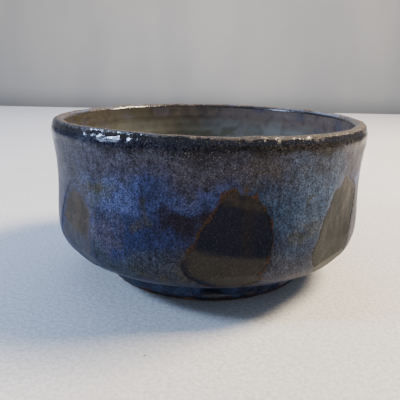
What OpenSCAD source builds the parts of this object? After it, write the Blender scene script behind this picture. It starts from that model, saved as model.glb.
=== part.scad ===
// Wheel-thrown stoneware bowl with a turned foot, two glaze coats outside and one inside.
// Origin: centre of the foot's resting face. +Z is up. All sizes are in millimetres.

/* [Bowl] */
// Outside diameter at the widest part of the rim
rim_d = 130; // [120:1:145]
// Height from the table to the crown of the lip
bowl_h = 65; // [60:1:75]
// Distance through the lip, glaze included
lip_t = 5.2; // [4.8:0.1:6]
// Distance through the wall at mid height, glaze included
wall_t = 4.9; // [4.5:0.1:6]
// Thickness of the floor over the foot recess, glaze included
floor_t = 6; // [5:0.1:8]

/* [Foot ring] */
// Outside diameter of the foot ring, glaze included
foot_d = 88.8; // [80:0.1:94]
// Height of the foot's wall, from the table to the underside of the bowl
foot_h = 6.8; // [6:0.1:8]
// Width of the clay ring
foot_w = 5.4; // [4.5:0.1:8]
// Height of the bare clay band that was wiped clean above the table
bare_h = 1.2; // [0.8:0.1:2]

/* [Glaze] */
// Thickness of the dark iron coat next to the clay
iron_t = 0.45; // [0.3:0.05:0.6]
// Thickness of the blue coat over it
blue_t = 0.35; // [0.2:0.05:0.5]
// Thickness of the coat on the foot and in its recess
foot_glaze_t = 0.5; // [0.4:0.05:0.7]
// How far the outside glaze runs down inside the lip
overlap_h = 7; // [4:0.5:12]

/* [Faceted windows] */
// Directions of the leaf-shaped windows round the wall, in degrees from the front (-Y) towards +X
window_at = [8.5, 49, 102, 154, 207, 259, 312];
// Depth of the cut strokes, measured from the widest part of the wall
cut_depth = 1.6; // [1.3:0.05:1.8]
// How far the scoop that cuts each window is tipped from level, in degrees
lean = 20; // [0:1:25]

/* [Finger marks on the foot] */
// Directions of the marks, in degrees from the front (-Y) towards +X
mark_at = [3, 100, 150, 235, 293];
// Depth of each mark in the foot's glaze
mark_depth = 0.3; // [0.1:0.05:0.35]

/* [Hidden] */
$fn = 128;

clay_colour = [0.55, 0.38, 0.28];
iron_colour = [0.10, 0.08, 0.07];
blue_colour = [0.17, 0.20, 0.33];
rust_colour = [0.35, 0.22, 0.12];
navy_colour = [0.07, 0.10, 0.20];
celadon_colour = [0.26, 0.28, 0.27];

// The profile is drawn for a bowl 130 across and 65 high, and these stretch it to the chosen size.
radial_scale = rim_d / 130;
height_scale = bowl_h / 65;
function at(r, z) = [r * radial_scale, z * height_scale];

rim_r = rim_d / 2;
wall_r = 64.2 * radial_scale;
foot_r = foot_d / 2;
glaze_t = iron_t + blue_t;
recess_top = foot_h + foot_glaze_t;
floor_z = recess_top - foot_glaze_t + floor_t;

// ---- Curves ----

function bezier(a, b, c, d, t) =
    pow(1 - t, 3) * a + 3 * t * pow(1 - t, 2) * b + 3 * t * t * (1 - t) * c + pow(t, 3) * d;

// One stretch of the profile, without its last point, which starts the next stretch.
function stretch(a, b, c, d, count) = [for (i = [0 : count - 1]) bezier(a, b, c, d, i / count)];

// The path moved sideways by distance, towards its left as it is walked.
function unit(v) = v / norm(v);
function heading(path, i) = unit(path[min(i + 1, len(path) - 1)] - path[max(i - 1, 0)]);
function left_of(v) = [-v[1], v[0]];
function inset(path, distance) =
    [for (i = [0 : len(path) - 1]) path[i] + distance * left_of(heading(path, i))];

function part_of(path, first, last) = [for (i = [first : last]) path[i]];
function backwards(path) = [for (i = [len(path) - 1 : -1 : 0]) path[i]];

// ---- The finished surface, from the crease over the foot, up the wall, over the lip and down inside ----

crease = at(58, 12.7);
shoulder_top = at(64.2, 25.5);
waist = at(63.6, 45);
rim = at(65, 60.2);
lip_outside = at(64.6, 62.6);
crown = [rim_r - lip_t / 2, bowl_h];
lip_inside = [rim_r - lip_t, bowl_h - 1.9];
inner_waist = waist - [wall_t, 0];
inner_shoulder = shoulder_top - [wall_t + 0.6, -5];
floor_edge = [34 * radial_scale, floor_z + 0.7];

outer_wall = concat(
    stretch(crease, crease + [3.9, 2.1], shoulder_top - [-0.1, 7], shoulder_top, 9),
    stretch(shoulder_top, shoulder_top + [0, 5], waist - [0, 6], waist, 4),
    stretch(waist, waist + [0, 5], rim - [0.5, 5], rim, 7),
    stretch(rim, rim + [0.1, 0.8], lip_outside - [-0.2, 0.6], lip_outside, 3));
lip = concat(
    stretch(lip_outside, lip_outside + [-0.3, 1.3], crown + [1.4, 0], crown, 6),
    stretch(crown, crown - [1.5, 0], lip_inside + [0, 1], lip_inside, 6));
inner_upper = [for (i = [0 : 3])
    bezier(lip_inside, lip_inside - [0.2, overlap_h / 3],
           lip_inside - [0.5, overlap_h * 0.7], lip_inside - [0.6, overlap_h], i / 4)];
overlap_end = lip_inside - [0.6, overlap_h];
inner_lower = concat(
    stretch(overlap_end, overlap_end - [0.1, 3], inner_waist + [0, 4], inner_waist, 3),
    stretch(inner_waist, inner_waist - [0, 6], inner_shoulder + [0.2, 5], inner_shoulder, 4),
    stretch(inner_shoulder, inner_shoulder - [0.6, 10], floor_edge + [11, 1.6], floor_edge, 9),
    stretch(floor_edge, floor_edge - [8, 0.6], [12, floor_z], [0, floor_z], 5),
    [[0, floor_z]]);

surface = concat(outer_wall, lip, inner_upper, inner_lower);
lip_start = len(outer_wall);
overlap_start = lip_start + len(lip);
liner_start = overlap_start + len(inner_upper);
surface_end = len(surface) - 1;

clay_surface = inset(surface, glaze_t);

// ---- Clay ----

clay_foot_r = foot_r - foot_glaze_t;
clay_foot_inner_r = clay_foot_r - foot_w;

module clay_body_of_revolution() {
    rotate_extrude()
        polygon(concat([[0, recess_top], [clay_foot_r, recess_top]],
                       part_of(clay_surface, 0, surface_end - 1),
                       [[0, clay_surface[surface_end][1]]]));
}

module clay_bowl() {
    color(clay_colour)
        difference() {
            clay_body_of_revolution();
            window_cuts(iron_t);
        }
}

// The turned ring, with both bottom edges rounded and a flat face between them.
module foot_ring() {
    edge = 0.9;
    quarter = [for (i = [0 : 4]) i * 22.5];
    color(clay_colour)
        rotate_extrude()
            polygon(concat(
                [for (a = quarter) [clay_foot_inner_r + edge * (1 - cos(a)), edge * (1 - sin(a))]],
                [for (a = quarter) [clay_foot_r - edge * (1 - sin(a)), edge * (1 - cos(a))]],
                [[clay_foot_r, recess_top], [clay_foot_inner_r, recess_top]]));
}

// ---- Glaze coats ----

// A coat between two depths below the finished surface, along part of its profile.
module coat(first, last, top_depth, bottom_depth) {
    rotate_extrude()
        polygon(concat(part_of(inset(surface, top_depth), first, last),
                       backwards(part_of(inset(surface, bottom_depth), first, last))));
}

// The cut strokes of all the windows. Each window is a tipped scoop up the wall, a flat across
// the shoulder and a steeper flat under it. Depth moves the cutters into the bowl.
module window_cuts(depth) {
    base_r = wall_r - cut_depth - depth;
    scoop_r = 95;
    for (direction = window_at)
        rotate([0, 0, direction]) {
            translate([0, -base_r - scoop_r, 34 * height_scale])
                rotate([0, 90 - lean, 0])
                    cylinder(r = scoop_r, h = 60, center = true);
            rotate([0, 0, -lean / 8])
                stroke_plane(base_r - 0.15, 22 * height_scale, 5);
            rotate([0, 0, -lean / 40])
                stroke_plane(base_r - 0.75, 18 * height_scale, 26);
        }
}

// Everything outside a plane that faces -Y at radius r and height z and leans out towards its top.
module stroke_plane(r, z, tilt) {
    reach = 44;
    translate([0, -r, z])
        rotate([tilt, 0, 0])
            translate([-reach / 2, -reach / 4, -reach / 2])
                cube([reach, reach / 4, reach]);
}

module iron_base_glaze() {
    color(iron_colour)
        difference() {
            coat(0, lip_start, blue_t, glaze_t + cut_depth + 1);
            window_cuts(0);
            clay_bowl();
        }
}

module blue_over_glaze() {
    color(blue_colour)
        difference() {
            coat(0, lip_start, 0, blue_t);
            window_cuts(0);
        }
}

module lip_glaze() {
    color(rust_colour)
        coat(lip_start, overlap_start, 0, glaze_t);
}

module rim_overlap_glaze() {
    color(navy_colour)
        coat(overlap_start, liner_start, 0, glaze_t);
}

module liner_glaze() {
    color(celadon_colour)
        coat(liner_start, surface_end, 0, glaze_t);
}

// The coat under the crease and down the foot's wall, with the marks of the fingers that held it.
module foot_glaze() {
    mark_r = 6.7;
    mark_z = (bare_h + foot_h) / 2;
    color(navy_colour)
        difference() {
            rotate_extrude()
                polygon([crease, clay_surface[0], [clay_foot_r, recess_top],
                         [clay_foot_r, bare_h], [foot_r, bare_h], [foot_r, foot_h]]);
            for (direction = mark_at)
                rotate([0, 0, direction])
                    translate([0, -foot_r + mark_depth, mark_z])
                        finger_scoop(mark_r, foot_h - bare_h);
        }
}

// A lying cylinder cut down to the part of it nearest the axis, so that it clears the bowl above.
module finger_scoop(r, width) {
    rotate([0, 90, 0])
        linear_extrude(30, center = true)
            intersection() {
                translate([0, -r])
                    circle(r);
                square(width, center = true);
            }
}

module recess_glaze() {
    inner_r = clay_foot_inner_r - foot_glaze_t;
    color(iron_colour)
        rotate_extrude()
            polygon([[0, recess_top], [clay_foot_inner_r, recess_top], [clay_foot_inner_r, bare_h],
                     [inner_r, bare_h], [inner_r, foot_h], [0, foot_h]]);
}

clay_bowl();
foot_ring();
iron_base_glaze();
blue_over_glaze();
lip_glaze();
rim_overlap_glaze();
liner_glaze();
foot_glaze();
recess_glaze();
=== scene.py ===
import math

import bpy
import numpy as np
from mathutils import Matrix, Vector


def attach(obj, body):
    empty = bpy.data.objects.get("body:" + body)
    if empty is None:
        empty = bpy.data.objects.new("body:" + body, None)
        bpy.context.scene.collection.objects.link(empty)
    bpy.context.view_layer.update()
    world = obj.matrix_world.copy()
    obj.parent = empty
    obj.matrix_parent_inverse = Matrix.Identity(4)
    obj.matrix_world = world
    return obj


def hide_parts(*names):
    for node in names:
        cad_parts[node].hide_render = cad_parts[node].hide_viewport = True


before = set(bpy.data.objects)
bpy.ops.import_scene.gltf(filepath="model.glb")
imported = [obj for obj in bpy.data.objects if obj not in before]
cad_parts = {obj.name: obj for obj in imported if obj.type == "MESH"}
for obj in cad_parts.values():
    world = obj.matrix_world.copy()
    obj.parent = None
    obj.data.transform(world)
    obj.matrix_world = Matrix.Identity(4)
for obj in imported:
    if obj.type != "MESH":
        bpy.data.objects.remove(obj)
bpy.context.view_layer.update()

MM = 0.001
TAU = 2 * math.pi
array = np.array

# ---- Dimensions, in millimetres ----


def extent(node):
    """Largest radius, lowest and highest point of a CAD node."""
    co = array([v.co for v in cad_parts[node].data.vertices]) / MM
    return np.hypot(co[:, 0], co[:, 1]).max(), co[:, 2].min(), co[:, 2].max()


rim_r, _, _ = extent("blue_over_glaze")
_, _, bowl_h = extent("lip_glaze")
clay_foot_r, _, recess_top = extent("foot_ring")
_, bare_h, _ = extent("foot_glaze")
recess_r, _, _ = extent("recess_glaze")

# The same driving sizes as the CAD profile.
LIP_T = 5.2
WALL_T = 4.9
FLOOR_T = 6.0
IRON_T = 0.45
BLUE_T = 0.35
GLAZE_T = IRON_T + BLUE_T
OVERLAP_H = 7.0
FOOT_W = 5.4
FOOT_EDGE = 0.9
FOOT_GLAZE_T = 0.5

foot_r = clay_foot_r + FOOT_GLAZE_T
foot_h = recess_top - FOOT_GLAZE_T
floor_z = foot_h + FLOOR_T

# The profile is drawn for this radius and height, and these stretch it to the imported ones.
DRAWN_R = 65
DRAWN_H = 65
radial_scale = rim_r / DRAWN_R
height_scale = bowl_h / DRAWN_H
wall_r = 64.2 * radial_scale

# The windows: their directions in degrees from -Y towards +X, how far to each side of its middle one
# can reach, in radians, and the strokes that cut each of them.
WINDOWS = [8.5, 49, 102, 154, 207, 259, 312]
WINDOW_REACH = 0.6
CUT_DEPTH = 1.6
LEAN = math.radians(20)
SCOOP_R = 95.0
SCOOP_Z = 34
# Each flat stroke: its distance from the scoop's depth, its height, its tilt and its turn in degrees.
FLAT_STROKES = [(-0.15, 22, 5, -2.5), (-0.75, 18, 26, -0.5)]

# The finger marks in the foot's glaze: their directions and reach as for the windows, and their shape.
MARKS = [3, 100, 150, 235, 293]
MARK_REACH = 0.35
MARK_DEPTH = 0.3
MARK_R = 6.7

# Where the surfaces stop short of the axis, which a fan of triangles closes.
AXIS_GAP = 0.4


def at(r, z):
    """A point of the drawn profile, stretched to size."""
    return array([r * radial_scale, z * height_scale])


# ---- Profile curves ----


def bezier(a, b, c, d, count=200):
    t = np.linspace(0, 1, count)[:, None]
    return (1 - t) ** 3 * a + 3 * t * (1 - t) ** 2 * b + 3 * t**2 * (1 - t) * c + t**3 * d


def resample(path, step):
    """The path with evenly spaced points."""
    along = np.r_[0, np.cumsum(np.linalg.norm(np.diff(path, axis=0), axis=1))]
    count = max(2, int(round(along[-1] / step)) + 1)
    want = np.linspace(0, along[-1], count)
    return np.stack([np.interp(want, along, path[:, k]) for k in range(2)], 1)


def chain(*curves, step):
    """Curves joined end to end, with evenly spaced points."""
    return resample(np.concatenate([c if i == 0 else c[1:] for i, c in enumerate(curves)]), step)


crease = at(58, 12.7)
shoulder = at(64.2, 25.5)
waist = at(63.6, 45)
rim = at(65, 60.2)
lip_out = at(64.6, 62.6)
crown = array([rim_r - LIP_T / 2, bowl_h])
lip_in = array([rim_r - LIP_T, bowl_h - 1.9])
overlap_end = lip_in - [0.6, OVERLAP_H]
in_waist = waist - [WALL_T, 0]
in_shoulder = shoulder - [WALL_T + 0.6, -5]
floor_edge = array([34 * radial_scale, floor_z + 0.7])

outer_path = chain(
    bezier(crease, crease + [3.9, 2.1], shoulder - [-0.1, 7], shoulder),
    bezier(shoulder, shoulder + [0, 5], waist - [0, 6], waist),
    bezier(waist, waist + [0, 5], rim - [0.5, 5], rim),
    bezier(rim, rim + [0.1, 0.8], lip_out - [-0.2, 0.6], lip_out),
    step=0.6,
)
lip_path = chain(
    bezier(lip_out, lip_out + [-0.3, 1.3], crown + [1.4, 0], crown),
    bezier(crown, crown - [1.5, 0], lip_in + [0, 1], lip_in),
    step=0.4,
)
overlap_path = chain(
    bezier(lip_in, lip_in - [0.2, OVERLAP_H / 3], lip_in - [0.5, OVERLAP_H * 0.7], overlap_end),
    step=0.6,
)
liner_path = chain(
    bezier(overlap_end, overlap_end - [0.1, 3], in_waist + [0, 4], in_waist),
    bezier(in_waist, in_waist - [0, 6], in_shoulder + [0.2, 5], in_shoulder),
    bezier(in_shoulder, in_shoulder - [0.6, 10], floor_edge + [11, 1.6], floor_edge),
    bezier(floor_edge, floor_edge - [8, 0.6], array([12, floor_z]), array([AXIS_GAP, floor_z])),
    step=0.75,
)
skin = np.concatenate([outer_path, lip_path[1:], overlap_path[1:], liner_path[1:]])
i_lip = len(outer_path) - 1
i_overlap = i_lip + len(lip_path) - 1
i_liner = i_overlap + len(overlap_path) - 1

tangent = np.gradient(skin, axis=0)
tangent /= np.linalg.norm(tangent, axis=1)[:, None]
outward = np.stack([tangent[:, 1], -tangent[:, 0]], 1)

COLS = 640
azimuth = np.arange(COLS) * TAU / COLS  # measured from -Y towards +X


def all_round(values):
    """Values for each ring, carried all the way round."""
    return np.asarray(values)[..., None] + 0 * azimuth


def place(r, z):
    """Points at radius r and height z, in millimetres, all the way round."""
    return np.stack([r * np.sin(azimuth), -r * np.cos(azimuth), z + 0 * r], -1)


def degrees_from(bearings, direction):
    """Bearings measured from a direction, between -180 and 180 degrees."""
    return (bearings - direction + 180) % 360 - 180


def radians_from(direction):
    """The azimuth of each column measured from a direction in degrees, between -pi and pi."""
    return (azimuth - math.radians(direction) + math.pi) % TAU - math.pi


def facing(bearings, direction):
    """1 towards a direction, falling to -1 on the opposite side."""
    return np.cos(np.radians(bearings - direction))


# ---- Small-scale form ----


def ripple(points, wavelength, seed, count=28):
    """A smooth random field with unit spread and about the given wavelength."""
    rng = np.random.default_rng(seed)
    wave = rng.normal(size=(count, 3))
    wave *= (rng.uniform(0.6, 1.6, count) * TAU / wavelength / np.linalg.norm(wave, axis=1))[:, None]
    phase = rng.uniform(0, TAU, count)
    return np.cos(points @ wave.T + phase).sum(-1) / math.sqrt(count / 2)


def smoothstep(x, low, high):
    """Smoothly from 0 to 1 as x goes from low to high."""
    t = np.clip((x - low) / (high - low), 0, 1)
    return t * t * (3 - 2 * t)


def soft_min(a, b, blend):
    """The smaller of two values, rounded where they are closer than blend."""
    h = np.clip(1 - np.abs(a - b) / blend, 0, 1)
    return np.minimum(a, b) - h * h * blend / 4


radius = all_round(skin[:, 0])
height = all_round(skin[:, 1])
nominal = place(radius, height)
bearing = degrees_from(np.degrees(azimuth), 0)
turn = azimuth / TAU
rows = np.arange(len(skin))[:, None]
outer = slice(0, i_lip + 1)


def throwing_rings():
    """The fingers' spiral up the wall, and a broader one on the inside floor."""
    up_wall = np.sin(TAU * (height / 4.3 + turn)) * 0.045 + np.sin(TAU * (height / 1.9 - turn)) * 0.012
    across_floor = np.sin(TAU * (radius / 5.2 - turn)) * 0.08 * smoothstep(radius, 1, 9)
    on_floor = smoothstep(-height, -(floor_z + 3.0), -(floor_z + 0.5))
    inside = smoothstep(rows, i_overlap - 2, i_overlap + 8)
    return (up_wall * (1 - on_floor) + across_floor * on_floor) * (0.25 + 0.75 * inside)


def wiped_place():
    """A flatter place outside the lip, where it was wiped."""
    wiped = np.exp(-((degrees_from(bearing, -29) / 19) ** 2)) * smoothstep(height, 60.0, 63.8)
    wiped = wiped * (1 + 0.18 * ripple(nominal, 4, 14))
    return 0.66 * wiped * smoothstep(-rows, -(i_lip + 8), -(i_lip + 2))


def rim_lift():
    """How far the thrown rim stands above or below its nominal height."""
    near_rim = smoothstep(height, 50, 64)
    waves = 0.20 * np.cos(2 * azimuth + 0.8) + 0.14 * np.cos(3 * azimuth + 2.1)
    return near_rim * (waves + 0.05 * ripple(nominal, 12, 13))


swell = 0.09 * ripple(nominal, 26, 11) + 0.035 * ripple(nominal, 9, 12)
push = swell + throwing_rings() - wiped_place()
face_r = radius + outward[:, 0, None] * push
face_z = height + outward[:, 1, None] * push + rim_lift()


def under(depth):
    """The surface at a depth below the finished one, as radius and height."""
    return face_r - outward[:, 0, None] * depth, face_z - outward[:, 1, None] * depth


# ---- Cut windows ----


def window_radius(z):
    """Distance from the axis to the nearest cut stroke at heights z, and 1 where it is a flat one."""
    base = wall_r - CUT_DEPTH
    far = 1e3
    scoop, flat = np.full(z.shape, far), np.full(z.shape, far)
    for direction in WINDOWS:
        local = radians_from(direction)
        near = np.abs(local) < WINDOW_REACH
        s, c = np.sin(local), np.cos(local)
        h = z - SCOOP_Z * height_scale
        # A ray from the axis meets the leaning cylinder where a t^2 - 2 b t + k = 0.
        a = 1 - (s * math.cos(LEAN)) ** 2
        b = c * (base + SCOOP_R) + s * h * math.cos(LEAN) * math.sin(LEAN)
        k = (base + SCOOP_R) ** 2 + (h * math.cos(LEAN)) ** 2 - SCOOP_R**2
        inner = b * b - a * k
        hit = (b - np.sqrt(np.maximum(inner, 0))) / a
        scoop = np.where(near & (inner > 0), np.minimum(scoop, hit), scoop)
        for offset, stroke_z, tilt, aside in FLAT_STROKES:
            slope = (z - stroke_z * height_scale) * math.tan(math.radians(tilt))
            hit = (base + offset + slope) / np.cos(local - math.radians(aside))
            flat = np.where(near, np.minimum(flat, hit), flat)
    return np.minimum(scoop, flat), smoothstep(scoop - flat, -0.12, 0.25)


def wall(depth, cut_at, blend):
    """The outside wall at a depth, with the windows cut to cut_at below the strokes.

    Also gives how deep the cut is, and 1 where a flat stroke made it."""
    r, z = under(depth)
    r, z = r[outer], z[outer]
    stroke, is_flat = window_radius(z)
    wobble = 0.016 * ripple(nominal, 5.5, 21) + 0.05 * ripple(nominal, 16, 22)
    stroke = stroke - cut_at + wobble[outer]
    cut = r - stroke
    r = soft_min(r, stroke, blend) if blend else np.minimum(r, stroke)
    return place(r, z), cut, is_flat


blue_top, blue_cut, blue_flat = wall(0, 0, 0.3)
blue_back, _, _ = wall(BLUE_T, 1e-3, 0)
iron_top, iron_cut, iron_flat = wall(BLUE_T, 0, 0)
iron_cut = iron_cut + BLUE_T
clay_top, _, _ = wall(GLAZE_T, IRON_T, 0)
skin_top = place(*under(0))
skin_back = place(*under(GLAZE_T))

# ---- Meshes ----


def per_point(values):
    """A grid of numbers or colours as one row for each point."""
    return values.reshape(-1, 3) if values.ndim == 3 else values.ravel()


def add_mesh(name, points, faces, node, material, attributes):
    """A piece that rides on the bowl, stands for a CAD node and carries its paint's attributes."""
    mesh = bpy.data.meshes.new(name)
    mesh.from_pydata((points * MM).tolist(), [], faces)
    mesh.validate()
    mesh.shade_smooth()
    mesh.set_sharp_from_angle(angle=math.radians(50))
    for key, values in attributes.items():
        values = np.asarray(values, np.float32)
        if values.ndim == 2:
            layer = mesh.attributes.new(key, "FLOAT_COLOR", "POINT")
            layer.data.foreach_set("color", np.c_[values, np.ones(len(values), np.float32)].ravel())
        else:
            layer = mesh.attributes.new(key, "FLOAT", "POINT")
            layer.data.foreach_set("value", values)
    mesh.materials.append(material)
    piece = bpy.data.objects.new(name, mesh)
    bpy.context.scene.collection.objects.link(piece)
    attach(piece, "root")
    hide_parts(node)


def ring_quads(first, second, cols):
    """Quads between two rings that start at these vertices. They face outward when the second is above."""
    j = np.arange(cols)
    k = (j + 1) % cols
    return np.stack([first + j, first + k, second + k, second + j], 1)


def revolve(rings, poles=None):
    """Points and faces through a closed loop of rings, or between two poles on the axis."""
    count, cols = rings.shape[:2]
    points = rings.reshape(-1, 3)
    steps = count if poles is None else count - 1
    faces = [ring_quads(i * cols, (i + 1) % count * cols, cols) for i in range(steps)]
    faces = np.concatenate(faces).tolist()
    if poles is not None:
        start, end = len(points), len(points) + 1
        points = np.concatenate([points, [[0, 0, poles[0]], [0, 0, poles[1]]]])
        last = (count - 1) * cols
        for j in range(cols):
            k = (j + 1) % cols
            faces.append([start, k, j])
            faces.append([end, last + j, last + k])
    return points, faces


def thinned(rings, step):
    """Every step-th ring, with both ends kept, turned end for end."""
    keep = sorted(set(range(0, len(rings), step)) | {len(rings) - 1})
    return rings[keep][::-1]


def there_and_back(top, back=None):
    """The rings of a coat's face and then, in the opposite order, the rings behind them."""
    return np.concatenate([top, (top if back is None else back)[::-1]])


def shell_with_holes(top, back, keep):
    """A closed skin between two grids, without the cells where keep is false.

    Gives the points, the faces, and the place in the grid that each point comes from."""
    count, cols = top.shape[:2]
    ids = np.arange(count * cols).reshape(count, cols)
    right = np.roll(ids, -1, axis=1)
    kept = keep & np.roll(keep, -1, axis=1)
    kept = kept[:-1] & kept[1:]
    quads = np.stack([ids[:-1], right[:-1], right[1:], ids[1:]], -1)[kept]
    shift = count * cols
    faces = [quads, quads[:, ::-1] + shift]
    edges = np.concatenate([quads[:, [m, (m + 1) % 4]] for m in range(4)])
    key = edges[:, 0].astype(np.int64) * shift + edges[:, 1]
    twin = edges[:, 1].astype(np.int64) * shift + edges[:, 0]
    border = edges[~np.isin(key, twin)]
    faces.append(np.stack([border[:, 1], border[:, 0], border[:, 0] + shift, border[:, 1] + shift], 1))
    faces = np.concatenate(faces)
    used = np.unique(faces)
    renumber = np.full(2 * shift, -1)
    renumber[used] = np.arange(len(used))
    points = np.concatenate([top.reshape(-1, 3), back.reshape(-1, 3)])[used]
    return points, renumber[faces].tolist(), used % shift


# ---- Materials ----


def srgb(*levels):
    """A colour in linear light from levels of 0 to 255."""
    c = [v / 255 for v in levels]
    return tuple(v / 12.92 if v <= 0.04045 else ((v + 0.055) / 1.055) ** 2.4 for v in c)


def rgba(*levels):
    return (*srgb(*levels), 1.0)


class Paint:
    """Builds one material's nodes. Lengths are in millimetres."""

    def __init__(self, name):
        self.material = bpy.data.materials.new(name)
        self.material.use_nodes = True
        self.tree = self.material.node_tree
        self.tree.nodes.clear()
        out = self.tree.nodes.new("ShaderNodeOutputMaterial")
        self.bsdf = self.tree.nodes.new("ShaderNodeBsdfPrincipled")
        self.tree.links.new(self.bsdf.outputs[0], out.inputs[0])
        coords = self.tree.nodes.new("ShaderNodeTexCoord").outputs["Object"]
        self.mm = self.scaled(coords, (1 / MM,) * 3)

    def put(self, socket, value):
        """Link a socket to another, or set its value."""
        if isinstance(value, bpy.types.NodeSocket):
            self.tree.links.new(value, socket)
        else:
            socket.default_value = value

    def math(self, operation, a, b):
        node = self.tree.nodes.new("ShaderNodeMath")
        node.operation = operation
        self.put(node.inputs[0], a)
        self.put(node.inputs[1], b)
        return node.outputs[0]

    def add(self, a, b):
        return self.math("ADD", a, b)

    def mul(self, a, b):
        return self.math("MULTIPLY", a, b)

    def scaled(self, vector, factors):
        node = self.tree.nodes.new("ShaderNodeVectorMath")
        node.operation = "MULTIPLY"
        self.put(node.inputs[0], vector)
        node.inputs[1].default_value = factors
        return node.outputs[0]

    def attribute(self, name, output="Fac"):
        node = self.tree.nodes.new("ShaderNodeAttribute")
        node.attribute_name = name
        return node.outputs[output]

    def noise(self, scale, detail=2.0, rough=0.5, vector=None):
        node = self.tree.nodes.new("ShaderNodeTexNoise")
        self.put(node.inputs["Vector"], self.mm if vector is None else vector)
        node.inputs["Scale"].default_value = scale
        node.inputs["Detail"].default_value = detail
        node.inputs["Roughness"].default_value = rough
        return node.outputs["Fac"]

    def height(self):
        parts = self.tree.nodes.new("ShaderNodeSeparateXYZ")
        self.tree.links.new(self.mm, parts.inputs[0])
        return parts.outputs[2]

    def dots(self, scale, share, size):
        """A mask of round dots, on this share of a scatter of points."""
        node = self.tree.nodes.new("ShaderNodeTexVoronoi")
        self.put(node.inputs["Vector"], self.mm)
        node.inputs["Scale"].default_value = scale
        parts = self.tree.nodes.new("ShaderNodeSeparateColor")
        self.tree.links.new(node.outputs["Color"], parts.inputs[0])
        dot = self.band(node.outputs["Distance"], size, size * 0.45)
        return self.mul(dot, self.band(parts.outputs[0], share + 0.02, share - 0.02))

    def band(self, value, low, high, start=0.0, end=1.0):
        """Smoothly from start to end as value goes from low to high."""
        node = self.tree.nodes.new("ShaderNodeMapRange")
        node.interpolation_type = "SMOOTHSTEP"
        self.put(node.inputs["Value"], value)
        for key, v in (("From Min", low), ("From Max", high), ("To Min", start), ("To Max", end)):
            self.put(node.inputs[key], v)
        return node.outputs[0]

    def mix(self, factor, a, b, kind="MIX"):
        """Colour a with b laid over it as far as factor says. Its sockets are the node's colour ones."""
        node = self.tree.nodes.new("ShaderNodeMix")
        node.data_type = "RGBA"
        node.blend_type = kind
        self.put(node.inputs[0], factor)
        self.put(node.inputs[6], a)
        self.put(node.inputs[7], b)
        return node.outputs[2]

    def shade(self, factor, colour, by):
        """The colour, multiplied by another as far as factor says."""
        return self.mix(factor, colour, by, "MULTIPLY")

    def gain(self, factor, colour, *times):
        """The colour, mixed with itself made this many times as strong in red, green and blue."""
        return self.mix(factor, colour, self.shade(1.0, colour, (*times, 1)))

    def bump(self, height, distance, normal=None):
        node = self.tree.nodes.new("ShaderNodeBump")
        node.inputs["Distance"].default_value = distance * MM
        self.put(node.inputs["Height"], height)
        if normal is not None:
            self.put(node.inputs["Normal"], normal)
        return node.outputs[0]

    def finish(self, colour, roughness, normal=None, **sockets):
        self.put(self.bsdf.inputs["Base Color"], colour)
        self.put(self.bsdf.inputs["Roughness"], roughness)
        if normal is not None:
            self.put(self.bsdf.inputs["Normal"], normal)
        for key, value in sockets.items():
            self.bsdf.inputs[key.replace("_", " ")].default_value = value
        return self.material


def glazed(p, tint, pale, grain_mix=1.0, blue=0.4):
    """Clouds, grain, blue crystals and pale specks over a tint. Returns the colour and the grain."""
    grain = p.noise(1.7, 3, 0.7)
    fleck = p.noise(3.1, 2, 0.6)
    cloud = p.noise(0.42, 3, 0.65)
    tint = p.shade(p.band(cloud, 0.50, 0.36, 0, 0.5 * grain_mix), tint, rgba(128, 128, 138))
    tint = p.gain(p.band(cloud, 0.50, 0.66, 0, 0.35 * grain_mix), tint, 1.8, 1.8, 1.8)
    light = p.shade(1.0, tint, (2.2, 2.2, 2.2, 1))
    light = p.mix(1.0, light, (0.004, 0.005, 0.009, 1), "ADD")
    colour = p.shade(p.band(grain, 0.50, 0.34, 0, 0.9 * grain_mix), tint, rgba(48, 48, 62))
    colour = p.mix(p.band(grain, 0.50, 0.66, 0, 0.8 * grain_mix), colour, light)
    colour = p.mix(p.mul(p.band(fleck, 0.60, 0.72), blue), colour, rgba(84, 98, 122))
    colour = p.mix(p.mul(p.band(fleck, 0.58, 0.66, 0, 0.8), pale), colour, rgba(98, 92, 88))
    colour = p.mix(p.mul(p.dots(0.85, 0.11, 0.23), pale), colour, rgba(124, 118, 108))
    colour = p.mix(p.mul(p.dots(1.9, 0.12, 0.36), pale), colour, rgba(130, 126, 118))
    return colour, grain


def pitted(p, grain, coarse, fine):
    """Bumps of three sizes: a slow swell, the grain and pin-prick pits."""
    normal = p.bump(p.noise(0.35, 2, 0.5), coarse * 1.5)
    normal = p.bump(grain, coarse, normal)
    return p.bump(p.noise(3.2, 2, 0.6), fine, normal)


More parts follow.
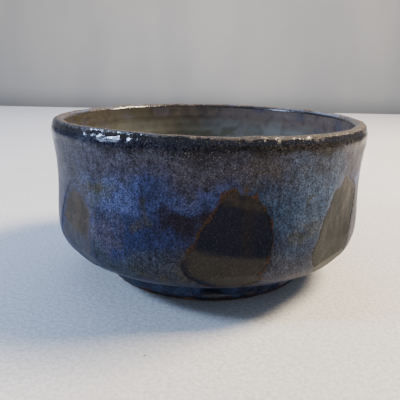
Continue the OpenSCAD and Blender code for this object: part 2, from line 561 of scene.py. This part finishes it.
def outer_glaze(name):
    """Rutile glaze over a dark iron glaze that shows where windows are cut."""
    p = Paint(name)
    fine = p.add(p.noise(1.5, 3, 0.7), -0.5)
    streak = p.add(p.noise(0.9, 3, 0.6, p.scaled(p.mm, (1, 1, 0.12))), -0.5)
    tint = p.attribute("tint", "Color")
    tint = p.shade(p.band(streak, 0.0, -0.2, 0, 0.45), tint, rgba(120, 112, 120))
    tint = p.gain(p.band(streak, 0.05, 0.22, 0, 0.35), tint, 1.9, 1.8, 1.7)
    body, grain = glazed(p, tint, p.attribute("specks"))

    inner = p.attribute("inner", "Color")
    inner = p.mix(p.band(streak, 0.05, 0.25, 0, 0.12), inner, rgba(50, 40, 28))
    inner = p.mix(p.band(p.noise(2.0, 2, 0.6), 0.54, 0.68, 0, 0.5), inner, rgba(56, 52, 48))
    inner = p.gain(p.band(fine, 0.03, 0.2, 0, 0.8), inner, 2.6, 2.4, 2.3)
    inner = p.gain(p.band(fine, -0.03, -0.2, 0, 0.8), inner, 0.3, 0.3, 0.35)
    inner = p.mix(p.mul(p.dots(0.8, 0.025, 0.24), 0.5), inner, rgba(110, 102, 90))

    rust = p.mix(p.band(fine, -0.1, 0.12), rgba(28, 19, 13), rgba(78, 50, 29))
    window = p.add(p.attribute("window"), p.mul(fine, 0.6))
    colour = p.mix(p.band(window, 0.40, 0.60), body, inner)
    burnt = p.add(p.attribute("rust"), p.mul(fine, 1.2))
    colour = p.mix(p.band(burnt, 0.40, 0.75, 0, 0.8), colour, rust)
    roughness = p.band(p.add(p.attribute("gloss"), p.mul(fine, 0.5)), 0.0, 1.0, 0.42, 0.13)
    return p.finish(colour, roughness, pitted(p, grain, 0.06, 0.025), Specular_IOR_Level=0.10)


def tinted_glaze(name, rough, pale, blue=0.3, coarse=0.04, grain_mix=0.8, level=0.5):
    """Glossy glaze in the piece's own tint, with as much grain and as many specks as asked for."""
    p = Paint(name)
    colour, grain = glazed(p, p.attribute("tint", "Color"), pale, grain_mix, blue)
    roughness = p.band(grain, 0.35, 0.65, rough, rough + 0.12)
    return p.finish(colour, roughness, pitted(p, grain, coarse, 0.015), Specular_IOR_Level=level)


def inside_glaze(name):
    """The smooth glaze inside the bowl, with little grain."""
    return tinted_glaze(name, rough=0.15, pale=0.06, blue=0.08, grain_mix=0.14, coarse=0.02)


def lip_paint(name):
    """Glossy glaze that turns rough where it is dry, given by the attribute dull, and sparkles there with
    painted golden glints on glossy specks.
    """
    p = Paint(name)
    dull = p.attribute("dull")
    colour, grain = glazed(p, p.attribute("tint", "Color"), 0.55, 1.0, 0.1)
    normal = p.bump(p.noise(0.35, 2, 0.5), 0.12)
    normal = p.bump(p.mul(grain, p.add(dull, 0.3)), 0.18, normal)
    normal = p.bump(p.mul(p.noise(2.6, 2, 0.6), p.add(dull, 0.2)), 0.12, normal)
    # Painted glints: golden dots that stand in for glints of light, thickest where dull is high. The same
    # dots are also made glossier.
    glint_dots = p.add(p.dots(2.6, 0.24, 0.40), p.dots(1.5, 0.16, 0.24))
    painted_glints = p.mul(glint_dots, p.add(p.mul(dull, 0.7), 0.2))
    colour = p.mix(painted_glints, colour, rgba(188, 166, 122))
    roughness = p.add(p.band(dull, 0.0, 1.0, 0.07, 0.85), p.mul(p.mul(painted_glints, dull), -0.6))
    return p.finish(colour, roughness, normal, Specular_IOR_Level=0.75)


def clay_paint(name):
    """Fired, unglazed stoneware with dark iron spots."""
    p = Paint(name)
    grain = p.noise(1.6, 4, 0.75)
    colour = p.attribute("tint", "Color")
    colour = p.shade(p.band(grain, 0.5, 0.3, 0, 0.7), colour, rgba(150, 130, 120))
    colour = p.gain(p.band(grain, 0.55, 0.75, 0, 0.6), colour, 1.7, 1.7, 1.7)
    colour = p.mix(p.dots(0.9, 0.1, 0.4), colour, rgba(40, 30, 26))
    return p.finish(colour, 0.85, pitted(p, grain, 0.12, 0.08))


# ---- Where each colour lies ----


def layered(base, layers):
    """A base colour with other colours laid over it, each by its own mask."""
    out = array(base)
    for mask, colour in layers:
        out = out + (array(colour) - out) * np.clip(mask, 0, 1)[..., None]
    return out


def by_height(z, stops):
    """The colour at each height, between stops that give a height and a colour."""
    heights = [stop for stop, _ in stops]
    colours = array([srgb(*levels) for _, levels in stops])
    return np.stack([np.interp(z, heights, colours[:, k]) for k in range(3)], -1)


def drifting(points, colour, other, wavelength, seed):
    """A tint that drifts between two colours."""
    drift = smoothstep(ripple(points, wavelength, seed), -1.1, 1.1)
    return array(colour) + (array(other) - array(colour)) * drift[..., None]


class Map:
    """Warped bearings and heights on one grid of points, so that patches get uneven outlines."""

    def __init__(self, points, seed):
        self.z = points[..., 2] + 2.2 * ripple(points, 24, seed) + 1.0 * ripple(points, 7, seed + 1)
        self.b = bearing + 4.5 * ripple(points, 26, seed + 2) + 1.8 * ripple(points, 7, seed + 3)

    def spot(self, b, z, half_b, half_z, soft=0.95):
        """A soft-edged patch round a bearing and a height."""
        away = np.hypot(degrees_from(self.b, b) / half_b, (self.z - z) / half_z)
        return smoothstep(-away, -1 - soft / 2, -1 + soft / 2)


BLUE, NAVY, PURPLE = srgb(62, 69, 103), srgb(26, 34, 66), srgb(24, 14, 23)
TEAL, OLIVE, MAUVE = srgb(50, 60, 72), srgb(56, 52, 36), srgb(62, 58, 72)
GREEN, SMOKE, STEEL = srgb(46, 52, 60), srgb(58, 60, 68), srgb(60, 75, 93)
AZURE, DUSK = srgb(46, 55, 91), srgb(32, 44, 64)

# Patches of glaze: bearing, height, half width in degrees, half height, colour and strength.
POOLS = [
    (-57, 50, 12, 8, SMOKE, 0.7),
    (-36, 44.5, 8, 5.5, BLUE, 0.85),
    (-15, 45, 12, 3.5, AZURE, 0.85),
    (-3, 47, 8, 3, AZURE, 0.4),
    (-17, 34, 15, 9, NAVY, 0.95),
    (-5, 38, 10, 4.5, PURPLE, 0.9),
    (-37, 28, 9, 10, MAUVE, 0.75),
    (-14, 22, 16, 6, GREEN, 0.7),
    (21, 42, 8, 9, DUSK, 1.0),
    (35, 48, 14, 12, STEEL, 0.35),
    (44, 44, 11, 12, STEEL, 0.45),
    (35, 28, 11, 9, STEEL, 0.4),
    (-44, 47, 7, 5.5, SMOKE, 0.85),
    (27, 29, 9, 8, DUSK, 0.5),
    (24, 19, 12, 6, SMOKE, 0.35),
    (-22, 39, 3.2, 2.8, OLIVE, 0.55),
    (-16, 17, 4.0, 3.2, OLIVE, 0.6),
    (35, 34, 5, 4.5, OLIVE, 0.45),
    (13, 52, 4, 7, OLIVE, 0.45),
    (-3, 19, 5, 5, OLIVE, 0.5),
    (37, 44, 1.4, 1.2, OLIVE, 0.6),
    (-43, 50, 2.6, 2.2, OLIVE, 0.7),
]
# The rest of the wall gets patches and small olive spots at random.
FAR_COLOURS = [BLUE, NAVY, PURPLE, TEAL, MAUVE, GREEN, BLUE, NAVY]
rng = np.random.default_rng(5)
for middle in range(62, 310, 11):
    colour = FAR_COLOURS[rng.integers(len(FAR_COLOURS))]
    z = 43 if colour == BLUE else rng.uniform(20, 42)
    b = middle + rng.uniform(-3, 3)
    POOLS.append((b, z, rng.uniform(8, 16), rng.uniform(5, 8), colour, rng.uniform(0.5, 0.9)))
for middle in range(58, 312, 23):
    b = middle + rng.uniform(-6, 6)
    POOLS.append((b, rng.uniform(16, 46), rng.uniform(1.4, 3), rng.uniform(1.4, 3), OLIVE, 0.8))

# How the glaze changes up the wall, before the patches.
WALL_STOPS = [
    (12, (40, 42, 58)), (17, (38, 40, 54)), (22, (42, 43, 53)), (27, (38, 40, 54)),
    (33, (30, 34, 54)), (39, (32, 38, 60)), (44, (44, 51, 76)), (49, (52, 53, 72)),
    (54, (53, 51, 62)), (58, (56, 57, 68)), (60, (42, 41, 49)), (63, (28, 28, 37)),
]


def outer_looks():
    """Tint, share of pale specks and gloss of the glaze over the outside wall."""
    points, z = nominal[outer], height[outer]
    where = Map(points, 61)
    tint = by_height(where.z, WALL_STOPS)
    tint = layered(tint, [(strength * where.spot(b, z, half_b, half_z), colour)
                          for b, z, half_b, half_z, colour, strength in POOLS])
    off_centre = smoothstep(np.abs(bearing), 12, 27)[:, None]
    tint = tint * (1 + array([0.24, 0.32, 0.32]) * off_centre)
    grey_side = smoothstep(-bearing, 34, 44) * smoothstep(bearing, -95, -75) * smoothstep(z, 38, 45)
    rim_band = smoothstep(z + 1.0 * ripple(points, 9, 70), 58.5, 61.5)
    olive_side = smoothstep(facing(bearing, 35), 0.6, 0.98)
    tint = layered(tint, [
        (0.6 * grey_side, SMOKE),
        (rim_band * 0.85, srgb(29, 29, 41)),
        (rim_band * 0.8 * olive_side, srgb(40, 37, 29)),
    ])
    specks = 0.12 + (0.6 + 0.3 * olive_side) * smoothstep(z, 47, 57) + 0.35 * smoothstep(-z, -24, -17)
    specks = specks * np.clip(0.75 + 0.45 * ripple(points, 18, 71), 0.15, 1.4)
    gloss = 0.25 + 0.75 * smoothstep(z, 57, 61) + 0.12 * ripple(points, 20, 72)
    return {"tint": tint, "specks": specks, "gloss": gloss}


# For each window: how strongly its edge is burnt to rust, how plainly it shows, and the colours of its
# scooped part and of the flat strokes under it.
WINDOW_LOOKS = [
    (1.0, 1.0, srgb(4, 11, 30), srgb(46, 44, 40)),
    (0.25, 0.45, srgb(4, 11, 13), srgb(22, 27, 27)),
    (0.7, 0.9, srgb(14, 17, 22), srgb(44, 44, 42)),
    (0.9, 0.8, srgb(8, 10, 16), srgb(40, 38, 38)),
    (0.6, 1.0, srgb(16, 18, 22), srgb(46, 44, 44)),
    (0.85, 0.7, srgb(9, 12, 18), srgb(38, 40, 42)),
    (0.2, 0.35, srgb(46, 41, 35), srgb(54, 52, 60)),
]


def window_looks(cut, is_flat, points):
    """Colour of the glaze inside the windows, how much of it shows, and where it is burnt to rust."""
    z = points[..., 2]
    b = np.degrees(np.arctan2(points[..., 0], -points[..., 1]))
    mottle = ripple(points, 5, 81)
    clouds = smoothstep(ripple(points, 9, 82), 0.0, 1.4)
    tone = np.zeros(z.shape + (3,))
    burn, sharp = np.zeros_like(z), np.ones_like(z)
    for direction, (rust, plain, scoop_colour, flat_colour) in zip(WINDOWS, WINDOW_LOOKS):
        aside = degrees_from(b, direction)
        near = np.abs(aside) < 26
        strip = np.exp(-(((aside - 3.6 - 0.05 * (z - SCOOP_Z) + 0.5 * mottle) / 1.3) ** 2))
        strip = strip * smoothstep(z, 24, 28)
        top = smoothstep(z + 0.25 * aside + 1.0 * mottle, 42, 45.5)
        left_hem = smoothstep(-aside, 2, 8) * smoothstep(-z, -27, -23) * smoothstep(-cut, -0.75, -0.4)
        here = layered(
            np.broadcast_to(array(scoop_colour), tone.shape),
            [
                (is_flat * 0.9, flat_colour),
                (0.45 * strip, srgb(34, 25, 17)),
                (0.85 * top, srgb(47, 42, 35)),
                (0.7 * clouds * (direction == WINDOWS[-1]), srgb(66, 56, 44)),
                (left_hem * (plain > 0.5), srgb(14, 18, 32)),
            ],
        )
        tone = np.where(near[..., None], here, tone)
        left = smoothstep(aside, -2, -5) * smoothstep(z, 25, 30)
        right = smoothstep(aside, 2, 6) * smoothstep(-z, -42, -36)
        side = np.clip(left + 0.6 * right, 0, 1)
        burn = np.where(near, rust * (0.25 + 0.75 * side + 0.3 * mottle + 0.5 * top), burn)
        sharp = np.where(near, plain, sharp)
    wide = 0.08 / sharp**2
    shown = smoothstep(cut + 0.05 * mottle, 0.06 - wide, 0.06 + 2 * wide) * np.where(sharp < 0.4, 0.75, 1)
    ridge = np.exp(-(((cut - 0.13 + 0.04 * mottle) / 0.15) ** 2))
    return {"inner": tone, "window": shown, "rust": np.clip(ridge * burn, 0, 1)}


# How the glaze changes up the inside: where it has run, measured from the rim, and the liner's own.
RUN_STOPS = [(-9, (62, 62, 66)), (-5, (54, 51, 60)), (-2.5, (42, 38, 44)), (-1, (44, 38, 34))]
POOL_STOPS = [(12, (84, 88, 84)), (22, (94, 98, 92)), (40, (104, 106, 100)), (58, (98, 98, 94))]


def inside_tint(points):
    """Cloudy grey-green, and patchy brown and violet where the outside glaze has run down from the lip."""
    where = Map(points, 110)
    cloud = ripple(points, 22, 124)
    to_left = facing(where.b, -135)
    to_right = facing(where.b, 130)
    run = layered(
        by_height(where.z - bowl_h, RUN_STOPS),
        [
            (smoothstep(to_left, 0.3, 0.9) * 0.7, srgb(70, 68, 56)),
            (smoothstep(to_right, 0.2, 0.9) * 0.8, srgb(120, 102, 90)),
            (smoothstep(ripple(points, 14, 111), 0.3, 1.6) * 0.5, srgb(72, 72, 88)),
            (smoothstep(ripple(points, 5, 112), 0.2, 1.8) * 0.3, srgb(40, 31, 30)),
        ],
    )
    pool = layered(
        by_height(where.z, POOL_STOPS),
        [
            (smoothstep(cloud, 0.2, 1.3) * 0.5, srgb(100, 106, 112)),
            (smoothstep(to_right, 0.2, 0.9) * 0.7, srgb(134, 129, 119)),
            (smoothstep(-cloud, 0.5, 1.5) * 0.45, srgb(88, 88, 72)),
            (smoothstep(to_left, 0.4, 1.0) * 0.6, srgb(84, 86, 76)),
            (smoothstep(ripple(points, 8, 125), 1.0, 2.2) * 0.2, srgb(66, 60, 56)),
            (where.spot(172, 51, 9, 2.6) * 0.6, srgb(78, 74, 54)),
        ],
    )
    edge = points[..., 2] + 0.9 * ripple(points, 22, 113) + 0.35 * ripple(points, 6, 114)
    return pool + (run - pool) * smoothstep(edge, 51.5, 58.5)[..., None]


# ---- Pieces: the bowl and its coats ----


def make_clay_bowl():
    """The clay behind every coat, with half as many columns and rings."""
    floor_rings = place(all_round(np.linspace(AXIS_GAP, clay_foot_r, 22)), recess_top)
    inner = skin_back[i_lip + 1 :]
    rings = np.concatenate([floor_rings, clay_top[::2], clay_top[-1:], inner[::2], inner[-1:]])
    points, faces = revolve(rings[:, ::2], poles=(recess_top, skin_back[-1, 0, 2]))
    add_mesh("clay_bowl_body", points, faces, "clay_bowl", clay_paint("clay"),
             {"tint": drifting(points, srgb(142, 100, 76), srgb(176, 132, 104), 30, 90)})


def make_outer_coats():
    """The iron coat, which is whole, and the blue coat over it, with holes at the windows."""
    glaze = outer_glaze("outer_glaze")
    looks = outer_looks()

    backing = thinned(clay_top, 6)
    points, faces = revolve(np.concatenate([iron_top, backing]))
    iron_looks = {
        key: per_point(np.concatenate([values, np.repeat(values[-1:], len(backing), axis=0)]))
        for key, values in {**looks, **window_looks(iron_cut, iron_flat, iron_top)}.items()
    }
    add_mesh("iron_base_coat", points, faces, "iron_base_glaze", glaze, iron_looks)

    points, faces, source = shell_with_holes(blue_top, blue_back, blue_cut < BLUE_T - 0.03)
    blue_looks = {
        key: per_point(values)[source]
        for key, values in {**looks, **window_looks(blue_cut, blue_flat, blue_top)}.items()
    }
    add_mesh("blue_over_coat", points, faces, "blue_over_glaze", glaze, blue_looks)


def make_lip_coat():
    """The lip: blue-black outside, burnt tan and rough on the crown, brown where it turns in."""
    part = slice(i_lip, i_overlap + 1)
    here = nominal[part]
    share = all_round(np.linspace(0, 1, len(here)))
    share = share + 0.035 * ripple(here, 9, 101) + 0.02 * ripple(here, 3, 102)
    right = smoothstep(facing(bearing, 60), 0.2, 0.95)
    tint = layered(
        np.broadcast_to(array(srgb(24, 23, 31)), here.shape),
        [
            (smoothstep(share + 0.10 * right, 0.20, 0.38), srgb(34, 26, 18)),
            (smoothstep(share + 0.06 * ripple(here, 1.6, 104), 0.38, 0.58), srgb(64, 49, 32)),
            (smoothstep(share, 0.62, 0.76), srgb(48, 40, 31)),
            (smoothstep(share, 0.84, 0.98), srgb(30, 27, 30)),
        ],
    )
    uneven = share + 0.05 * ripple(here, 2.2, 103)
    # dull also sets where the lip paint's painted golden glints lie thickest, further onto the crown
    # towards the right.
    dull = smoothstep(uneven + 0.08 * right, 0.24, 0.42) * (0.12 + 0.88 * smoothstep(-uneven, -0.80, -0.60))
    points, faces = revolve(there_and_back(skin_top[part], skin_back[part]))
    add_mesh("lip_coat", points, faces, "lip_glaze", lip_paint("lip"),
             {"tint": per_point(there_and_back(tint)), "dull": per_point(there_and_back(dull))})


def make_rim_overlap_coat():
    """The outside glaze where it has run down inside the lip."""
    part = slice(i_overlap, i_liner + 1)
    points, faces = revolve(there_and_back(skin_top[part], skin_back[part]))
    add_mesh("rim_overlap_coat", points, faces, "rim_overlap_glaze",
             inside_glaze("rim_overlap"), {"tint": per_point(there_and_back(inside_tint(nominal[part])))})


def make_liner_coat():
    """The glaze from the overlap down to the middle of the floor, with a thinner set of rings behind it."""
    top, back = skin_top[i_liner:], thinned(skin_back[i_liner:], 4)
    points, faces = revolve(np.concatenate([back, top]), poles=(skin_back[-1, 0, 2], skin_top[-1, 0, 2]))
    tint = inside_tint(nominal[i_liner:])
    tint = per_point(np.concatenate([np.repeat(tint[:1], len(back), axis=0), tint]))
    add_mesh("liner_coat", points, faces, "liner_glaze",
             inside_glaze("liner"), {"tint": np.concatenate([tint, tint[:1], tint[-1:]])})


# ---- Pieces: the foot ----

FOOT_FILLET = 1.6
RECESS_FILLET = 1.8


def foot_coat_path():
    """From the crease down the underside, round into the foot's wall and to a rolled hem."""
    corner = array([foot_r, foot_h])
    toward = (crease - corner) / np.linalg.norm(crease - corner)
    before, after = corner + toward * FOOT_FILLET, corner - [0, FOOT_FILLET]
    hem_top = array([foot_r, bare_h + 1.4])
    return chain(
        array([crease, before]),
        bezier(before, corner + toward * FOOT_FILLET * 0.4, corner - [0, FOOT_FILLET * 0.4], after),
        array([after, hem_top]),
        bezier(hem_top, array([foot_r + 0.25, bare_h + 0.7]), array([foot_r + 0.1, bare_h]),
               array([clay_foot_r, bare_h])),
        step=0.35,
    )


def finger_marked(r, z):
    """The radius with the finger marks pressed in, and how far each place lies inside a mark."""
    mark_z = (bare_h + foot_h) / 2
    marked = np.zeros_like(r)
    for direction in MARKS:
        local = radians_from(direction)
        chord = MARK_R**2 - (z - mark_z) ** 2
        scoop = (foot_r - MARK_DEPTH + MARK_R - np.sqrt(np.maximum(chord, 0))) / np.cos(local)
        hit = (np.abs(local) < MARK_REACH) & (z < foot_h)
        marked = np.maximum(marked, hit * smoothstep(r - scoop, -0.05, 0.2))
        r = np.where(hit, soft_min(r, scoop, 0.12), r)
    return r, marked


def make_foot_coat():
    """The glaze on the underside and the foot's wall, with the marks of the fingers that held it."""
    path = foot_coat_path()
    flat_r, flat_z = all_round(path[:, 0]), all_round(path[:, 1])
    points = place(flat_r, flat_z)
    fade = smoothstep(np.arange(len(path))[:, None], 0, 12)
    r = flat_r + fade * (0.06 * ripple(points, 11, 31) + 0.03 * ripple(points, 4, 32))
    hem = smoothstep(-flat_z, -(bare_h + 2.2), -(bare_h + 0.2))
    z = flat_z + hem * (0.22 * ripple(points, 13, 33) + 0.1 * ripple(points, 5, 34))
    r, marked = finger_marked(r, z)
    tint = layered(
        drifting(points, srgb(26, 36, 60), srgb(50, 62, 92), 9, 35),
        [
            (marked * 0.85, srgb(8, 12, 20)),
            (hem * smoothstep(ripple(points, 8, 36), 0.3, 1.2) * 0.8, srgb(70, 46, 36)),
        ],
    )
    top = place(r, z)
    top[0] = skin_top[0]
    hidden = np.stack([place(all_round(clay_foot_r), recess_top), skin_back[0]])
    # The rings run downwards here, so the loop is turned end for end to face outwards.
    points, faces = revolve(np.concatenate([top, hidden])[::-1])
    tint = np.concatenate([tint, tint[-1:], tint[:1]])[::-1]
    add_mesh("foot_coat", points, faces, "foot_glaze",
             tinted_glaze("foot_glaze", rough=0.14, pale=0.2, level=0.4), {"tint": per_point(tint)})


def make_foot_ring():
    """The clay foot ring, darker in patches along its outer edge towards the front and right."""
    inner_r = clay_foot_r - FOOT_W
    quarter = np.linspace(0, math.pi / 2, 7)
    rise, reach = FOOT_EDGE * (1 - np.sin(quarter)), FOOT_EDGE * (1 - np.cos(quarter))
    low_in = np.stack([inner_r + reach, rise], 1)
    low_out = np.stack([clay_foot_r - rise, reach], 1)
    path = chain(
        array([[inner_r, recess_top], low_in[0]]),
        low_in,
        array([low_in[-1], low_out[0]]),
        low_out,
        array([low_out[-1], [clay_foot_r, recess_top]]),
        array([[clay_foot_r, recess_top], [inner_r + 0.5, recess_top]]),
        step=0.45,
    )
    r, z = all_round(path[:, 0]), all_round(path[:, 1])
    points = place(r, z)
    dark_front_patches = smoothstep(ripple(points, 22, 43) + 1.6 * facing(bearing, 25), 0.2, 1.4) * 0.85
    dark_front_patches = dark_front_patches * smoothstep(r, clay_foot_r - 1.6, clay_foot_r - 0.6)
    tint = layered(
        drifting(points, srgb(120, 74, 54), srgb(158, 106, 78), 14, 42),
        [
            (dark_front_patches, srgb(44, 34, 34)),
            (smoothstep(ripple(points, 5, 44), 0.8, 1.5) * 0.6, srgb(82, 46, 34)),
        ],
    )
    bare = smoothstep(-z, -bare_h - 0.6, -bare_h + 0.3) * smoothstep(z, 0.05, 0.5)
    points, faces = revolve(place(r + 0.035 * bare * ripple(points, 2.4, 41), z))
    add_mesh("foot_ring_clay", points, faces, "foot_ring", clay_paint("foot_clay"),
             {"tint": per_point(tint)})


def make_recess_coat():
    """The glaze inside the foot's recess, with the marks of the turning tool."""
    inner_r = recess_r - FOOT_GLAZE_T
    before, after = array([inner_r, foot_h - RECESS_FILLET]), array([inner_r - RECESS_FILLET, foot_h])
    hem_top = array([inner_r, bare_h + 1.3])
    path = chain(
        bezier(array([recess_r, bare_h]), array([inner_r + 0.1, bare_h]),
               array([inner_r - 0.15, bare_h + 0.6]), hem_top),
        array([hem_top, before]),
        bezier(before, array([inner_r, foot_h - 0.5]), array([inner_r - 0.5, foot_h]), after),
        array([after, [AXIS_GAP, foot_h]]),
        step=0.7,
    )
    r, z = all_round(path[:, 0]), all_round(path[:, 1])
    tool_marks = 0.07 * np.sin(TAU * (r / 2.7 - turn)) + 0.08 * ripple(place(r, z), 12, 51)
    z = z + tool_marks * smoothstep(-r, -inner_r + 1, -inner_r + 4)
    hidden = place(all_round([AXIS_GAP, recess_r]), recess_top)
    points, faces = revolve(np.concatenate([hidden, place(r, z)])[::-1], poles=(foot_h, recess_top))
    tint = layered(
        drifting(points, srgb(26, 28, 40), srgb(56, 56, 62), 16, 52),
        [
            (smoothstep(ripple(points, 7, 53), 0.6, 1.5) * 0.6, srgb(70, 58, 44)),
            (smoothstep(ripple(points, 18, 54), 0.4, 1.3) * 0.5, srgb(40, 52, 82)),
        ],
    )
    add_mesh("recess_coat", points, faces, "recess_glaze",
             tinted_glaze("recess", rough=0.25, pale=0.3), {"tint": tint})


make_clay_bowl()
make_outer_coats()
make_lip_coat()
make_rim_overlap_coat()
make_liner_coat()
make_foot_coat()
make_foot_ring()
make_recess_coat()

# ---- Floor and backdrop, in metres ----

STAGE_HALF_W = 3
TABLE_BACK = 0.74
BACKDROP_Y = TABLE_BACK + 0.25
BACKDROP_LOW = -0.3
BACKDROP_HIGH = 2.2


def stage_panel(name, corners, material):
    mesh = bpy.data.meshes.new(name)
    mesh.from_pydata(corners, [], [[0, 1, 2, 3]])
    mesh.shade_smooth()
    mesh.materials.append(material)
    thing = bpy.data.objects.new(name, mesh)
    bpy.context.scene.collection.objects.link(thing)


def floor_paint():
    """A pale surface with a fine grain and a few darker flecks."""
    p = Paint("floor")
    broad = p.noise(0.012, 3, 0.6)
    colour = p.mix(p.band(broad, 0.3, 0.7), rgba(222, 221, 218), rgba(230, 229, 226))
    colour = p.mix(p.band(p.noise(0.7, 3, 0.7), 0.4, 0.6, 0, 0.9), colour, rgba(204, 203, 200))
    colour = p.mix(p.dots(0.11, 0.10, 0.07), colour, rgba(150, 142, 132))
    return p.finish(colour, 0.65, p.bump(p.noise(0.55, 3, 0.65), 0.35), Specular_IOR_Level=0.3)


def backdrop_paint():
    """A pale wall with painted shade: soft upright bands for its folds, and darkening towards its foot."""
    p = Paint("backdrop")
    # Painted shade of folds: upright bands of lighter and darker grey on the flat wall.
    painted_fold_shade = p.noise(0.006, 2, 0.5, p.scaled(p.mm, (1, 1, 0.35)))
    colour = p.mix(p.band(painted_fold_shade, 0.35, 0.65), rgba(180, 180, 178), rgba(194, 193, 188))
    # Painted shade that darkens the wall towards its foot, behind the table's back edge.
    foot = p.band(p.height(), 36, -45, 0, 0.72)
    return p.finish(p.mix(foot, colour, rgba(90, 92, 94)), 0.9)


stage_panel(
    "table",
    [(-STAGE_HALF_W, -STAGE_HALF_W, 0), (STAGE_HALF_W, -STAGE_HALF_W, 0),
     (STAGE_HALF_W, TABLE_BACK, 0), (-STAGE_HALF_W, TABLE_BACK, 0)],
    floor_paint(),
)
stage_panel(
    "backdrop",
    [(-STAGE_HALF_W, BACKDROP_Y, BACKDROP_LOW), (STAGE_HALF_W, BACKDROP_Y, BACKDROP_LOW),
     (STAGE_HALF_W, BACKDROP_Y, BACKDROP_HIGH), (-STAGE_HALF_W, BACKDROP_Y, BACKDROP_HIGH)],
    backdrop_paint(),
)

# ---- Light ----


def area_light(name, where, target, size, power, colour):
    light = bpy.data.lights.new(name, "AREA")
    light.shape = "RECTANGLE"
    light.size, light.size_y = size
    light.energy = power
    light.color = colour
    lamp = bpy.data.objects.new(name, light)
    lamp.location = where
    lamp.rotation_euler = (Vector(target) - Vector(where)).to_track_quat("-Z", "Y").to_euler()
    bpy.context.scene.collection.objects.link(lamp)


area_light("key", (0.53, 0.13, 0.65), (0, 0, 0.03), (0.28, 0.28), 20.5, (1.0, 0.81, 0.58))
area_light("window", (-0.70, -0.17, 0.50), (0, 0, 0.05), (0.19, 0.10), 7.6, (0.47, 0.64, 1.0))
area_light("ceiling", (-0.16, 0.55, 0.64), (0, 0, 0.0), (0.90, 0.50), 4.6, (0.46, 0.61, 1.0))

world = bpy.data.worlds.new("room")
bpy.context.scene.world = world
world.use_nodes = True
background = world.node_tree.nodes["Background"]
background.inputs["Color"].default_value = (0.62, 0.76, 1.0, 1)
background.inputs["Strength"].default_value = 0.32

# ---- Camera, placed in metres and turned in degrees ----

CAMERA_AT = (0, -0.1998, 0.08515)
CAMERA_PITCH = 16.22
CAMERA_YAW = 0.90
CAMERA_ROLL = 1.15

camera_data = bpy.data.cameras.new("camera")
camera_data.sensor_width = 36
camera_data.lens = 41.4
camera_data.clip_start = 0.01
camera = bpy.data.objects.new("camera", camera_data)
bpy.context.scene.collection.objects.link(camera)
camera.matrix_world = (
    Matrix.Translation(CAMERA_AT)
    @ Matrix.Rotation(math.radians(CAMERA_YAW), 4, "Z")
    @ Matrix.Rotation(math.radians(90 - CAMERA_PITCH), 4, "X")
    @ Matrix.Rotation(math.radians(CAMERA_ROLL), 4, "Z")
)
bpy.context.scene.camera = camera
